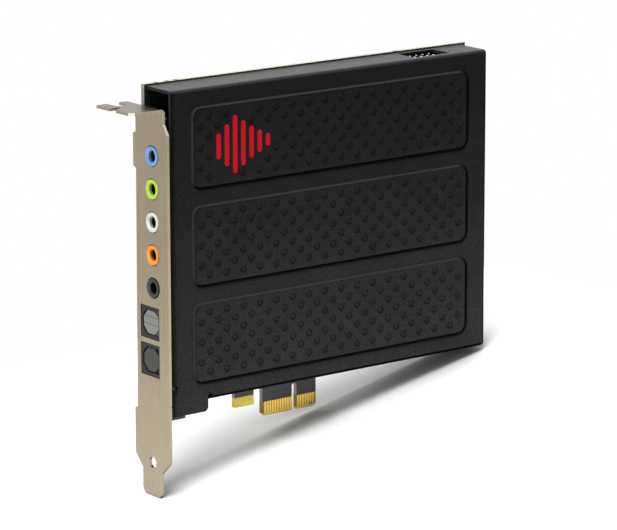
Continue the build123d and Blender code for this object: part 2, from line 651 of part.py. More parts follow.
# Hexagonal standoffs pressed into the cover
with BuildPart() as cover_standoffs:
    with BuildSketch(board_plane(FRONT)):
        with Locations(*STANDOFFS):
            RegularPolygon(STANDOFF_RADIUS, STANDOFF_SIDES)
    extrude(amount=FRONT - COVER_INSIDE)
    with BuildSketch(board_plane(FRONT)):
        with Locations(*STANDOFFS):
            Circle(THREAD_RADIUS)
    extrude(amount=THREAD_DEPTH, mode=Mode.SUBTRACT)
save(cover_standoffs.part, "cover_standoffs")


def pan_screws(seat, points, length):
    """Cross-recessed pan-head screws: the shanks leave the seat plane along its normal."""
    with BuildPart() as screws:
        with BuildSketch(seat.offset(-HEAD_HEIGHT)):
            with Locations(*points):
                Circle(HEAD_RADIUS)
        extrude(amount=HEAD_HEIGHT)
        head_tops = screws.edges().filter_by(GeomType.CIRCLE).group_by(Axis(seat.origin, seat.z_dir))[0]
        chamfer(head_tops, HEAD_CHAMFER)
        with BuildSketch(seat):
            with Locations(*points):
                Circle(THREAD_RADIUS)
        extrude(amount=length)
        with BuildSketch(seat.offset(-HEAD_HEIGHT)):
            with Locations(*points):
                Rectangle(RECESS_LENGTH, RECESS_WIDTH)
                Rectangle(RECESS_WIDTH, RECESS_LENGTH)
        extrude(amount=RECESS_DEPTH, mode=Mode.SUBTRACT)
    return screws.part


save(pan_screws(board_plane(BACK), STANDOFFS, COVER_SCREW_LENGTH), "cover_screws")
component_seat = Plane(origin=(0, FRONT, 0), x_dir=(-1, 0, 0), z_dir=(0, 1, 0))
save(pan_screws(component_seat, [(-BRACKET_SCREW[0], BRACKET_SCREW[1])], EAR_EDGE - FRONT), "bracket_screw")

# Right-angle pin header below the port
header_middle = sum(HEADER_ROWS) / len(HEADER_ROWS)
with BuildPart() as header_base:
    with BuildSketch(Plane.XY.offset(HEADER_BASE_Z - HEADER_PITCH / 2)):
        with Locations((HEADER_X, header_middle)):
            Rectangle(HEADER_COLUMNS * HEADER_PITCH, len(HEADER_ROWS) * HEADER_PITCH - 2 * PLATING)
        for row_y in HEADER_ROWS:
            with Locations(*[(x, row_y) for x in HEADER_XS]):
                Rectangle(HEADER_PIN, HEADER_PIN, mode=Mode.SUBTRACT)
    extrude(amount=HEADER_PITCH)
save(header_base.part, "header_base")

with BuildPart() as header_pins:
    for x in HEADER_XS:
        for row_y, bend in zip(HEADER_ROWS, HEADER_BENDS):
            with BuildSketch(Plane.YZ.offset(x - HEADER_PIN / 2)):
                with Locations((row_y, (bend - HEADER_PIN / 2 + HEADER_TIP) / 2)):
                    Rectangle(HEADER_PIN, HEADER_TIP - bend + HEADER_PIN / 2)
                with Locations(((row_y + LEG_END) / 2, bend)):
                    Rectangle(LEG_END - row_y, HEADER_PIN)
            extrude(amount=HEADER_PIN)
save(header_pins.part, "header_pins")

# Audio processor: substrate with a moulded cap
with BuildPart() as audio_processor:
    with BuildSketch(board_plane(FRONT)):
        with Locations(PROCESSOR_CENTRE):
            Rectangle(PROCESSOR_SIZE, PROCESSOR_SIZE)
    extrude(amount=PROCESSOR_BASE)
    with BuildSketch(board_plane(FRONT - PROCESSOR_BASE)):
        with Locations(PROCESSOR_CENTRE):
            Rectangle(PROCESSOR_CAP_SIZE, PROCESSOR_CAP_SIZE)
    extrude(amount=PROCESSOR_CAP, taper=PROCESSOR_CAP_TAPER)
save(audio_processor.part, "audio_processor")


def leaded_chips(centres, size, leads):
    """Moulded chips with gull-wing leads along both long sides."""
    length, width, rise = size
    lead_pitch = (length - 2 * LEAD_MARGIN) / (leads - 1)
    with BuildPart() as chips:
        with BuildSketch(board_plane(FRONT)):
            with Locations(*centres):
                Rectangle(length, width)
        extrude(amount=rise)
        with BuildSketch(board_plane(FRONT)):
            for centre_x, centre_z in centres:
                for side in (-1, 1):
                    for lead in range(leads):
                        lead_x = centre_x + (lead - (leads - 1) / 2) * lead_pitch
                        with Locations((lead_x, centre_z + side * (width + LEAD_REACH) / 2)):
                            Rectangle(LEAD_WIDTH, LEAD_REACH)
        extrude(amount=LEAD_RISE)
    return chips.part


save(leaded_chips([MEMORY_CENTRE], MEMORY_SIZE, MEMORY_LEADS), "memory_chip")
save(leaded_chips([FLASH_CENTRE], AMPLIFIER_SIZE, AMPLIFIER_LEADS), "flash_chip")
save(leaded_chips(CONVERTER_CENTRES, CONVERTER_SIZE, CONVERTER_LEADS), "converter_chips")
save(leaded_chips(AMPLIFIER_CENTRES, AMPLIFIER_SIZE, AMPLIFIER_LEADS), "amplifier_chips")

# Crystal can, rounded at both ends
with BuildPart() as crystal_can:
    with BuildSketch(board_plane(FRONT)):
        with Locations(CRYSTAL_CENTRE):
            SlotOverall(CRYSTAL_SIZE[0], CRYSTAL_SIZE[1])
    extrude(amount=CRYSTAL_SIZE[2])
save(crystal_can.part, "crystal_can")

# Voltage regulators, each with its soldered tab
with BuildPart() as voltage_regulators:
    with BuildSketch(board_plane(FRONT)):
        with Locations(*REGULATOR_CENTRES):
            Rectangle(REGULATOR_SIZE[0], REGULATOR_SIZE[1])
    extrude(amount=REGULATOR_SIZE[2])
    tab_rise = (REGULATOR_SIZE[1] + REGULATOR_TAB[1]) / 2
    with BuildSketch(board_plane(FRONT)):
        with Locations(*[(x, z + tab_rise) for x, z in REGULATOR_CENTRES]):
            Rectangle(REGULATOR_TAB[0], REGULATOR_TAB[1])
    extrude(amount=REGULATOR_TAB[2])
save(voltage_regulators.part, "voltage_regulators")

# Electrolytic capacitors: cans on square bases
with BuildPart() as electrolytic_capacitors:
    with BuildSketch(board_plane(FRONT)):
        with Locations(*CAPACITOR_CENTRES):
            Rectangle(CAPACITOR_BASE, CAPACITOR_BASE)
    extrude(amount=CAPACITOR_BASE_HEIGHT)
    with BuildSketch(board_plane(FRONT - CAPACITOR_BASE_HEIGHT)):
        with Locations(*CAPACITOR_CENTRES):
            Circle(CAPACITOR_RADIUS)
    extrude(amount=CAPACITOR_HEIGHT - CAPACITOR_BASE_HEIGHT)
save(electrolytic_capacitors.part, "electrolytic_capacitors")


def chip_parts(rows, rise):
    """Small two-ended chip parts, in rows given as centre, pitch and count along X and Z."""
    with BuildPart() as chips:
        with BuildSketch(board_plane(FRONT)):
            for centre, pitch, count in rows:
                with Locations(centre):
                    with GridLocations(pitch[0], pitch[1], count[0], count[1]):
                        Rectangle(CHIP_LENGTH, CHIP_WIDTH)
        extrude(amount=rise)
    return chips.part


save(chip_parts(CHIP_CAPACITOR_ROWS, CHIP_CAPACITOR_RISE), "chip_capacitors")
save(chip_parts(CHIP_RESISTOR_ROWS, CHIP_RESISTOR_RISE), "chip_resistors")
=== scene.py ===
# %% [markdown]
# # An expansion sound card for a studio picture
# The card was drawn as solids in a CAD program, one solid for each physical piece. This lesson loads
# those solids as a fixed frame, gives each one a finish made of shader nodes, models the small things
# that a CAD drawing leaves out, and lights the card as a product photographer would.

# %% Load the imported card
import json
import math

import bpy
from mathutils import Matrix, Vector


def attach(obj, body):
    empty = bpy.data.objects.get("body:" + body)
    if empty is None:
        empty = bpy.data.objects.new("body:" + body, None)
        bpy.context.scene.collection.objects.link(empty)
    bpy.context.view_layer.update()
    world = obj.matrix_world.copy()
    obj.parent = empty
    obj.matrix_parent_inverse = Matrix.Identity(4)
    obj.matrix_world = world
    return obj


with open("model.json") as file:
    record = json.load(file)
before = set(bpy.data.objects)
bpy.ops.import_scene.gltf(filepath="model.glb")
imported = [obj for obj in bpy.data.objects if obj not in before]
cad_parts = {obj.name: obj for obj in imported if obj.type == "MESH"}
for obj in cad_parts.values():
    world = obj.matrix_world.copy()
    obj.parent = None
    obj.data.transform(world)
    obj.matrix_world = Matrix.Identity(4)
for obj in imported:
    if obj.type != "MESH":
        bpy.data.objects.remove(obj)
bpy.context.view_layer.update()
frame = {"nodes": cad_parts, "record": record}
MM = 0.001
nodes = frame["nodes"]

# %% [markdown]
# ## The camera
# The photograph was taken with a long lens from the bracket's side, a little above the card. The camera's
# place came from matching known points of the card, such as the corners of the cover, with where they are
# in the picture. A camera looks along its own -Z, so a quarter turn about X makes it look along +Y, and
# the other angles are then taken off from there.

# %% Set the camera where the photographer stood
VIEW_TURN = -37.345
VIEW_HEIGHT = 13.009
VIEW_ROLL = -0.098
LENS = 208.63
CAMERA_PLACE = (-661.80, -875.74, 300.70)

camera_data = bpy.data.cameras.new("studio_camera")
camera_data.lens = LENS
camera_data.sensor_width = 36
camera_data.clip_start = 0.05
camera_data.clip_end = 20
camera = bpy.data.objects.new("studio_camera", camera_data)
bpy.context.scene.collection.objects.link(camera)
camera.location = Vector(CAMERA_PLACE) * MM
turn = Matrix.Rotation(math.radians(VIEW_TURN), 4, "Z")
tilt = Matrix.Rotation(math.radians(90 - VIEW_HEIGHT), 4, "X")
roll = Matrix.Rotation(math.radians(VIEW_ROLL), 4, "Z")
camera.rotation_euler = (turn @ tilt @ roll).to_euler()
bpy.context.scene.camera = camera
print("camera is", round(camera.location.length, 3), "m from the card's key notch")

# %% [markdown]
# ## Building blocks for shaders
# A shader is a small network of nodes. The helper below adds one node, sets its inputs and joins any
# socket it is given, so that each finish further down reads as a short recipe. Values that stay the same
# all over a surface go straight into the shader's own sockets.

# %% Write the helper that adds a node
def put(tree, kind, settings=None, **inputs):
    """Adds a shader node. An input called i0, i1... goes by place, and any other by name."""
    made = tree.nodes.new("ShaderNode" + kind)
    for key, value in (settings or {}).items():
        setattr(made, key, value)
    for key, value in inputs.items():
        by_place = key[0] == "i" and key[1:].isdigit()
        socket = made.inputs[int(key[1:])] if by_place else made.inputs[key.replace("_", " ")]
        if isinstance(value, bpy.types.NodeSocket):
            tree.links.new(value, socket)
        else:
            socket.default_value = value
    return made


def maths(tree, operation, first, second=0.0):
    """One step of arithmetic, as a socket."""
    return put(tree, "Math", {"operation": operation}, i0=first, i1=second).outputs[0]


def ramp(tree, value, low, high, out_low=0.0, out_high=1.0):
    """A smooth step from one value to another, as a socket."""
    step = put(tree, "MapRange", {"interpolation_type": "SMOOTHSTEP"}, Value=value,
               From_Min=low, From_Max=high, To_Min=out_low, To_Max=out_high)
    return step.outputs["Result"]


def blend(tree, amount, first, second):
    """A mix of two colours, as a socket."""
    mix = put(tree, "Mix", {"data_type": "RGBA"}, Factor=amount, i6=first, i7=second)
    return mix.outputs[2]


def place_of(tree):
    """The three parts of the point being shaded, in metres in the card's frame."""
    place = put(tree, "TexCoord").outputs["Object"]
    return put(tree, "SeparateXYZ", i0=place).outputs


def facing(tree):
    """The three parts of the direction that the surface faces."""
    normal = put(tree, "TexCoord").outputs["Normal"]
    return put(tree, "SeparateXYZ", i0=normal).outputs


print("helpers ready")

# %% [markdown]
# ## Floor and light
# On a table this card rests on two points: the tip of its bracket and the far corner of the board. In the
# card's own frame the table top is therefore a slope, and the shadow narrows towards the far corner. The
# floor is a plane turned to pass through those two points. A bisect cuts the paper short behind the card,
# where the real one ends.

# %% Make the sloping table top
TONGUE_TIP = (-58.6, -16.4)
FAR_CORNER = (69.4, 11.8)
FLOOR_SIZE = 480
FLOOR_MIDDLE = -110
FLOOR_GAP = 0.05
PAPER_EDGE = (115, 45, 0)
PAPER_EDGE_FACING = (0.53, 0.85, 0)
floor_slope = math.atan2(FAR_CORNER[1] - TONGUE_TIP[1], FAR_CORNER[0] - TONGUE_TIP[0])
floor_height = TONGUE_TIP[1] + (FLOOR_MIDDLE - TONGUE_TIP[0]) * math.tan(floor_slope) - FLOOR_GAP

bpy.ops.object.select_all(action="DESELECT")
bpy.ops.mesh.primitive_plane_add(size=FLOOR_SIZE * MM, rotation=(0, -floor_slope, 0))
floor = bpy.context.object
floor.name = "table_top"
floor.location = Vector((FLOOR_MIDDLE, 0, floor_height)) * MM
bpy.ops.object.transform_apply(location=True, rotation=True, scale=True)
bpy.ops.object.mode_set(mode="EDIT")
bpy.ops.mesh.select_all(action="SELECT")
bpy.ops.mesh.bisect(plane_co=Vector(PAPER_EDGE) * MM, plane_no=PAPER_EDGE_FACING, clear_outer=True)
bpy.ops.object.mode_set(mode="OBJECT")
print("floor slopes by", round(math.degrees(floor_slope), 2), "degrees")

# %% [markdown]
# The paper shades like white card, and tells camera, mirror and glass rays that it is a little brighter,
# so that it melts into the white background and keeps the shadow. Ambient occlusion darkens it where the
# card stands close, which deepens the shadow towards the far corner.

# %% Colour the paper
FLOOR_LIFT = 0.35
CONTACT_REACH = 45
SKY_RANGE = (0.40, 0.95)
DARKER_BELOW = 0.55
PAPER_TONES = (0.42, 0.8)
floor_look = bpy.data.materials.new("white_table")
floor_look.use_nodes = True
tree = floor_look.node_tree
tree.nodes.clear()
open_sky = put(tree, "AmbientOcclusion", {"samples": 8}, Distance=CONTACT_REACH * MM).outputs["AO"]
open_sky = ramp(tree, open_sky, *SKY_RANGE)
rays = put(tree, "LightPath").outputs
paper = put(tree, "BsdfDiffuse", Color=ramp(tree, open_sky, 0.0, DARKER_BELOW, *PAPER_TONES))
seen = maths(tree, "MAXIMUM", rays["Is Camera Ray"], rays["Is Glossy Ray"])
seen = maths(tree, "MAXIMUM", seen, rays["Is Transmission Ray"])
seen = maths(tree, "MULTIPLY", seen, open_sky)
lift = put(tree, "Emission", Strength=maths(tree, "MULTIPLY", seen, FLOOR_LIFT))
both = put(tree, "AddShader", i0=paper.outputs[0], i1=lift.outputs[0])
put(tree, "OutputMaterial", Surface=both.outputs[0])
floor.data.materials.append(floor_look)
print("paper tones:", PAPER_TONES)

# %% [markdown]
# A wide soft box hangs over the card, a little towards the camera and towards the bracket, so the shadow
# falls close behind. A weaker panel stands at the photographer's left for the bracket's face, and a weak
# one hangs high at the right. These two also show as reflections in metal and gloss. All three face the
# card.

# %% Hang the lamps
CARD_MIDDLE = Vector((5, -5, 55)) * MM


def soft_box(name, place, size, watts, mirrored=False):
    """A square area lamp that faces the middle of the card."""
    lamp_data = bpy.data.lights.new(name, "AREA")
    lamp_data.shape = "SQUARE"
    lamp_data.size = size * MM
    lamp_data.energy = watts
    lamp = bpy.data.objects.new(name, lamp_data)
    bpy.context.scene.collection.objects.link(lamp)
    lamp.location = CARD_MIDDLE + Vector(place) * MM
    lamp.rotation_euler = (CARD_MIDDLE - lamp.location).to_track_quat("-Z", "Y").to_euler()
    lamp.visible_glossy = mirrored


soft_box("overhead_box", (-260, -160, 850), 420, 10.4)
soft_box("right_panel", (530, -315, 660), 560, 1.4, mirrored=True)
soft_box("side_panel", (-900, -420, -40), 420, 2.4, mirrored=True)

# %% [markdown]
# The world is the rest of the studio. The camera sees it plain white, and so do reflections and clear
# pieces, so that metal shows the same background. All other rays get a softer level, which fills the
# shadows a little.

# %% Light the world
AMBIENT = 0.4

world = bpy.data.worlds.new("white_room")
bpy.context.scene.world = world
world.use_nodes = True
room = world.node_tree
room_rays = put(room, "LightPath").outputs
shown = maths(room, "MAXIMUM", room_rays["Is Camera Ray"], room_rays["Is Glossy Ray"])
shown = maths(room, "MAXIMUM", shown, room_rays["Is Transmission Ray"])
total = ramp(room, shown, 0.0, 1.0, AMBIENT, 1.0)
room.links.new(total, room.nodes["Background"].inputs["Strength"])
room.nodes["Background"].inputs["Color"].default_value = (1, 1, 1, 1)
bpy.context.scene.view_settings.view_transform = "Standard"
print("world level for fill light:", AMBIENT)

# %% [markdown]
# ## Effects that several finishes share
# Real surfaces repeat a few effects: a fine grain, a tone that wanders, brushing in one direction, edges
# that are rubbed bright, and a film of dust on whatever faces up; here the bright edges also carry a painted
# highlight and the dust a painted sheen. Each effect is a node group, made once and used in many materials.
# A group gives only a colour, a mask, a value or a normal, and the material's own shader does the rest. All
# of them read Object coordinates, so the effects stay fixed on the card and have a real scale in metres.

# %% Write the helpers for effects
def effect(name, inputs, outputs):
    """An empty node group with named inputs and outputs."""
    tree = bpy.data.node_groups.new(name, "ShaderNodeTree")
    for side, sockets in (("INPUT", inputs), ("OUTPUT", outputs)):
        for label, kind, value in sockets:
            socket = tree.interface.new_socket(label, in_out=side, socket_type="NodeSocket" + kind)
            if side == "INPUT" and value is not None:
                socket.default_value = value
    given = tree.nodes.new("NodeGroupInput").outputs
    result = tree.nodes.new("NodeGroupOutput").inputs
    return tree, given, result


def use(tree, group, output, **inputs):
    """One output of a group, as a socket, in a material's tree."""
    return put(tree, "Group", {"node_tree": group}, **inputs).outputs[output]


MM_PER_METRE = 1000.0
print("effect helpers ready")

# %% [markdown]
# Grain, wandering tone and brushing are all noise. What differs is the size of the noise, in millimetres,
# and what it drives: a bump, a brightness, or a value that is stretched along one direction.

# %% Make grain, tone and brushing
fine_grain, given, result = effect(
    "fine_grain", [("Size", "Float", 0.4), ("Depth", "Float", 0.02)],
    [("Height", "Float", None), ("Normal", "Vector", None)])
place = put(fine_grain, "TexCoord").outputs["Object"]
fineness = maths(fine_grain, "DIVIDE", MM_PER_METRE, given["Size"])
specks = put(fine_grain, "TexNoise", Vector=place, Scale=fineness, Detail=3.0, Roughness=0.6)
depth = maths(fine_grain, "MULTIPLY", given["Depth"], MM)
bumps = put(fine_grain, "Bump", Height=specks.outputs[0], Distance=depth)
fine_grain.links.new(specks.outputs[0], result["Height"])
fine_grain.links.new(bumps.outputs[0], result["Normal"])

uneven_tone, given, result = effect(
    "uneven_tone", [("Colour", "Color", (1, 1, 1, 1)), ("Size", "Float", 8.0), ("Amount", "Float", 0.1)],
    [("Colour", "Color", None)])
place = put(uneven_tone, "TexCoord").outputs["Object"]
fineness = maths(uneven_tone, "DIVIDE", MM_PER_METRE, given["Size"])
clouds = put(uneven_tone, "TexNoise", Vector=place, Scale=fineness, Detail=4.0)
swing = maths(uneven_tone, "SUBTRACT", clouds.outputs[0], 0.5)
swing = maths(uneven_tone, "MULTIPLY", swing, given["Amount"])
level = maths(uneven_tone, "MULTIPLY_ADD", swing, 4.0)
level.node.inputs[2].default_value = 1.0
toned = put(uneven_tone, "VectorMath", {"operation": "SCALE"}, i0=given["Colour"], Scale=level)
uneven_tone.links.new(toned.outputs[0], result["Colour"])

brushed, given, result = effect(
    "brushed", [("Size", "Float", 0.3), ("Along", "Vector", (1, 1, 0.02))], [("Value", "Float", None)])
place = put(brushed, "TexCoord").outputs["Object"]
stretched = put(brushed, "VectorMath", {"operation": "MULTIPLY"}, i0=place, i1=given["Along"]).outputs[0]
fineness = maths(brushed, "DIVIDE", MM_PER_METRE, given["Size"])
streaks = put(brushed, "TexNoise", Vector=stretched, Scale=fineness, Detail=3.0)
brushed.links.new(streaks.outputs[0], result["Value"])
print("effects:", [g.name for g in bpy.data.node_groups])

# %% [markdown]
# Wear with painted edge highlights, and dust with a painted sheen, are masks. A Bevel node bends the normal
# near an edge, so where it differs from the flat one there is an edge to wear or to light. Dust and the
# sheen lie where the surface faces up. Noise breaks both masks into patches.

# %% Make wear and dust
WEAR_PATCHES = 600.0
DUST_PATCHES = 900.0
edge_wear_and_highlight, given, result = effect(
    "edge_wear_and_highlight", [("Width", "Float", 0.3), ("Patchiness", "Float", 0.5)], [("Mask", "Float", None)])
width = maths(edge_wear_and_highlight, "MULTIPLY", given["Width"], MM)
rounded = put(edge_wear_and_highlight, "Bevel", {"samples": 4}, Radius=width).outputs[0]
flat = put(edge_wear_and_highlight, "NewGeometry").outputs["Normal"]
likeness = put(edge_wear_and_highlight, "VectorMath", {"operation": "DOT_PRODUCT"}, i0=rounded, i1=flat).outputs["Value"]
edges = ramp(edge_wear_and_highlight, maths(edge_wear_and_highlight, "SUBTRACT", 1.0, likeness), 0.03, 0.2)
place = put(edge_wear_and_highlight, "TexCoord").outputs["Object"]
clouds = put(edge_wear_and_highlight, "TexNoise", Vector=place, Scale=WEAR_PATCHES, Detail=2.0).outputs[0]
unworn = maths(edge_wear_and_highlight, "SUBTRACT", 1.0, ramp(edge_wear_and_highlight, clouds, 0.35, 0.6))
unworn = maths(edge_wear_and_highlight, "MULTIPLY", given["Patchiness"], unworn)
worn_and_highlit = maths(edge_wear_and_highlight, "MULTIPLY", edges, maths(edge_wear_and_highlight, "SUBTRACT", 1.0, unworn))
edge_wear_and_highlight.links.new(worn_and_highlit, result["Mask"])

dust_and_sheen_film, given, result = effect("dust_and_sheen_film", [("Amount", "Float", 0.5)], [("Mask", "Float", None)])
upward = put(dust_and_sheen_film, "SeparateXYZ", i0=put(dust_and_sheen_film, "TexCoord").outputs["Normal"]).outputs[2]
place = put(dust_and_sheen_film, "TexCoord").outputs["Object"]
clouds = put(dust_and_sheen_film, "TexNoise", Vector=place, Scale=DUST_PATCHES, Detail=4.0).outputs[0]
drifts = ramp(dust_and_sheen_film, clouds, 0.2, 0.8, 0.6, 1.0)
lying = maths(dust_and_sheen_film, "MULTIPLY", ramp(dust_and_sheen_film, upward, 0.75, 1.0), drifts)
dust_and_sheen_film.links.new(maths(dust_and_sheen_film, "MULTIPLY", lying, given["Amount"]), result["Mask"])
print("effects:", [g.name for g in bpy.data.node_groups])

# %% [markdown]
# ## Finishes
# A finish starts from a Principled shader. The function below makes a material of that kind with its
# constant values, and hands back the tree and the shader so that each recipe can join its own colour,
# roughness and bump.

# %% Write the starting point of a finish
looks = {}


def finish(slot, roughness, metallic=0.0, specular=0.5):
    """A new material for a slot, with its tree and its Principled shader."""
    look = bpy.data.materials.new(slot + "_look")
    look.use_nodes = True
    shader = look.node_tree.nodes["Principled BSDF"]
    shader.inputs["Roughness"].default_value = roughness
    shader.inputs["Metallic"].default_value = metallic
    shader.inputs["Specular IOR Level"].default_value = specular
    looks[slot] = look
    return look.node_tree, shader


def join(tree, shader, **sockets):
    """Joins sockets to the shader's inputs by name."""
    for name, socket in sockets.items():
        tree.links.new(socket, shader.inputs[name.replace("_", " ")])


print("ready for finishes")

# %% [markdown]
# The shield cover is steel with a dull baked black paint of fine grain. The paint is lighter lower down, a
# painted reflection of the lit table below. Flanks that turn to the right and down are painted black, a
# painted shade, while the flanks of the pads that face the upper left are painted grey, a painted highlight.
# Ambient occlusion paints a shadow beside each stud: its Normal input is the direction that the light comes
# from, so only what stands on that side counts. Upward faces turn grey with dust and a painted sheen. A
# Bevel node rounds the edges in the shading, as thick paint does, without a change to the solid.

# %% Paint the shield cover
PAINTED_SHADE_BLACK = (0.0005, 0.0005, 0.0005, 1)
PAINT_HIGH_UP = (0.0118, 0.0118, 0.0120, 1)
PAINT_LOW_REFLECTING = (0.0300, 0.0300, 0.0303, 1)
PAINTED_FLANK_HIGHLIGHT = (0.048, 0.048, 0.049, 1)
TOP_DUST_AND_SHEEN = (0.098, 0.098, 0.099, 1)
THIN_PAINT = (0.03, 0.03, 0.031, 1)
PAD_FACE = -13.85
SHADOW_LIGHT_FROM = (-0.82, -0.38, 0.43)
STUD_SHADOW_REACH = 1.8
REFLECTION_FADE_HEIGHTS = (112, 8)
EDGE_ROUND = 0.15
PEEL_SIZE = 0.5
PEEL_DEPTH = 0.022
tree, shader = finish("cover_steel", roughness=0.33, specular=0.012)
_, depth, height = place_of(tree)
# Painted reflection: the paint is lighter lower down, as if it mirrored the lit table.
painted_reflection_low = ramp(tree, height, REFLECTION_FADE_HEIGHTS[0] * MM, REFLECTION_FADE_HEIGHTS[1] * MM)
reflecting_paint = blend(tree, painted_reflection_low, PAINT_HIGH_UP, PAINT_LOW_REFLECTING)
paint = use(tree, uneven_tone, "Colour", Colour=reflecting_paint, Size=14.0, Amount=0.12)
paint = use(tree, uneven_tone, "Colour", Colour=paint, Size=PEEL_SIZE, Amount=0.4)
across, _, upright = facing(tree)
# Painted shade: flanks that face right and down are painted black.
to_the_right = maths(tree, "MULTIPLY", across, 0.75)
painted_shade_side = maths(tree, "SUBTRACT", to_the_right, maths(tree, "MULTIPLY", upright, 0.65))
paint = blend(tree, ramp(tree, painted_shade_side, 0.02, 0.14), paint, PAINTED_SHADE_BLACK)
# Painted highlight: flanks of the pads that face the upper left are painted grey.
on_pad_flank = ramp(tree, depth, (PAD_FACE - 0.05) * MM, (PAD_FACE + 0.05) * MM, 0.35, 1.0)
painted_highlight_flank = maths(tree, "MULTIPLY", ramp(tree, painted_shade_side, -0.10, -0.45, 0.0, 0.45), on_pad_flank)
paint = blend(tree, painted_highlight_flank, paint, PAINTED_FLANK_HIGHLIGHT)
# Painted shadow: ambient occlusion towards the light darkens the face beside each stud.
painted_light_from = put(tree, "CombineXYZ", X=SHADOW_LIGHT_FROM[0], Y=SHADOW_LIGHT_FROM[1], Z=SHADOW_LIGHT_FROM[2]).outputs[0]
painted_stud_shadow = put(tree, "AmbientOcclusion", {"samples": 16}, Distance=STUD_SHADOW_REACH * MM, Normal=painted_light_from).outputs["AO"]
paint = blend(tree, ramp(tree, painted_stud_shadow, 0.83, 0.64), paint, PAINTED_SHADE_BLACK)
worn_and_highlit = use(tree, edge_wear_and_highlight, "Mask", Width=0.25, Patchiness=0.7)
colour = blend(tree, maths(tree, "MULTIPLY", worn_and_highlit, 0.06), paint, THIN_PAINT)
# Dust and a painted sheen: upward faces, above all the top wall, turn grey.
colour = blend(tree, use(tree, dust_and_sheen_film, "Mask", Amount=0.9), colour, TOP_DUST_AND_SHEEN)
peel = use(tree, fine_grain, "Height", Size=PEEL_SIZE)
thick = put(tree, "Bevel", {"samples": 6}, Radius=EDGE_ROUND * MM).outputs[0]
relief = put(tree, "Bump", Height=peel, Distance=PEEL_DEPTH * MM, Normal=thick)
join(tree, shader, Base_Color=colour, Normal=relief.outputs[0],
     Roughness=ramp(tree, peel, 0.2, 0.8, 0.28, 0.38))
print("painted", looks["cover_steel"].name)

# %% [markdown]
# The bracket is plated sheet steel. The plating is warm grey, brushed along its length before it was cut,
# and its cut edges are brighter, partly bare steel and partly a painted highlight. Its upward faces are
# darker. Streaks in the roughness show the brushing better than streaks in the colour alone.

# %% Plate the bracket
PLATING = (0.325, 0.266, 0.185, 1)
STREAK = (0.41, 0.35, 0.255, 1)
CUT_STEEL_AND_HIGHLIGHT = (0.62, 0.57, 0.48, 1)
DARKER_UPWARD_STEEL = (0.185, 0.175, 0.15, 1)
tree, shader = finish("bracket_steel", roughness=0.32, metallic=1.0)
streaks = use(tree, brushed, "Value", Size=0.35, Along=(1.0, 1.0, 0.015))
plate = use(tree, uneven_tone, "Colour", Colour=PLATING, Size=18.0, Amount=0.06)
plate = blend(tree, ramp(tree, streaks, 0.3, 0.75, 0.0, 0.35), plate, STREAK)
# Painted highlight and wear: the bracket's edges are painted bright, partly as bare cut steel.
worn_and_highlit = use(tree, edge_wear_and_highlight, "Mask", Width=0.2, Patchiness=0.35)
colour = blend(tree, maths(tree, "MULTIPLY", worn_and_highlit, 0.4), plate, CUT_STEEL_AND_HIGHLIGHT)
# Upward faces are made darker.
upward = ramp(tree, facing(tree)[2], 0.75, 0.95, 0.0, 0.8)
colour = blend(tree, upward, colour, DARKER_UPWARD_STEEL)
join(tree, shader, Base_Color=colour, Roughness=ramp(tree, streaks, 0.25, 0.8, 0.25, 0.40),
     Normal=use(tree, fine_grain, "Normal", Size=0.3, Depth=0.004))
print("plated", looks["bracket_steel"].name)

# %% [markdown]
# The board is glass cloth and resin under a black solder mask. Its cut edges are bare and show the pale
# resin, and one tab at the lower edge was left bare too, like the tip of the card edge. The resin comes
# first: it shows the threads of the cloth, is painted a darker brown on faces turned towards the bracket, a
# painted shade, and has reddish marks where the board was broken out of its panel.

# %% Make the bare resin
BREAK_MARKS = [-51.7, -47.7, -44.2, 41.0]
BREAK_MARK_WIDTH = 1.5
BOARD_TOP = 111.0
RESIN = (0.46, 0.43, 0.33, 1)
THREADS = (0.57, 0.55, 0.45, 1)
SHADED_END_RESIN = (0.33, 0.295, 0.245, 1)
BREAK_RED = (0.10, 0.015, 0.01, 1)
tree, shader = finish("board", roughness=0.32, specular=0.5)
x, _, z = place_of(tree)
resin = use(tree, uneven_tone, "Colour", Colour=RESIN, Size=1.2, Amount=0.12)
cloth = use(tree, brushed, "Value", Size=0.25, Along=(0.05, 1.0, 1.0))
resin = blend(tree, ramp(tree, cloth, 0.45, 0.65, 0.0, 0.4), resin, THREADS)
# Painted shade: faces turned towards the bracket are painted a darker brown.
painted_shade_end = ramp(tree, facing(tree)[0], -0.5, -0.7)
resin = blend(tree, painted_shade_end, resin, SHADED_END_RESIN)
marks = 0.0
for mark in BREAK_MARKS:
    away = maths(tree, "ABSOLUTE", maths(tree, "SUBTRACT", x, mark * MM))
    near = ramp(tree, away, BREAK_MARK_WIDTH * 0.6 * MM, BREAK_MARK_WIDTH * 0.4 * MM)
    marks = maths(tree, "MAXIMUM", near, marks)
marks = maths(tree, "MULTIPLY", marks, ramp(tree, z, (BOARD_TOP - 0.1) * MM, (BOARD_TOP + 0.1) * MM))
resin = blend(tree, maths(tree, "MULTIPLY", marks, 0.8), resin, BREAK_RED)
print("resin has", len(BREAK_MARKS), "break marks")

# %% [markdown]
# Fine raised lines below the solder mask are the copper tracks. They are the joints of a brick pattern,
# turned to lie on the board's faces. Masks made from the surface's direction and place then decide where
# mask, resin, the bare tab and the bare tip of the card edge show.

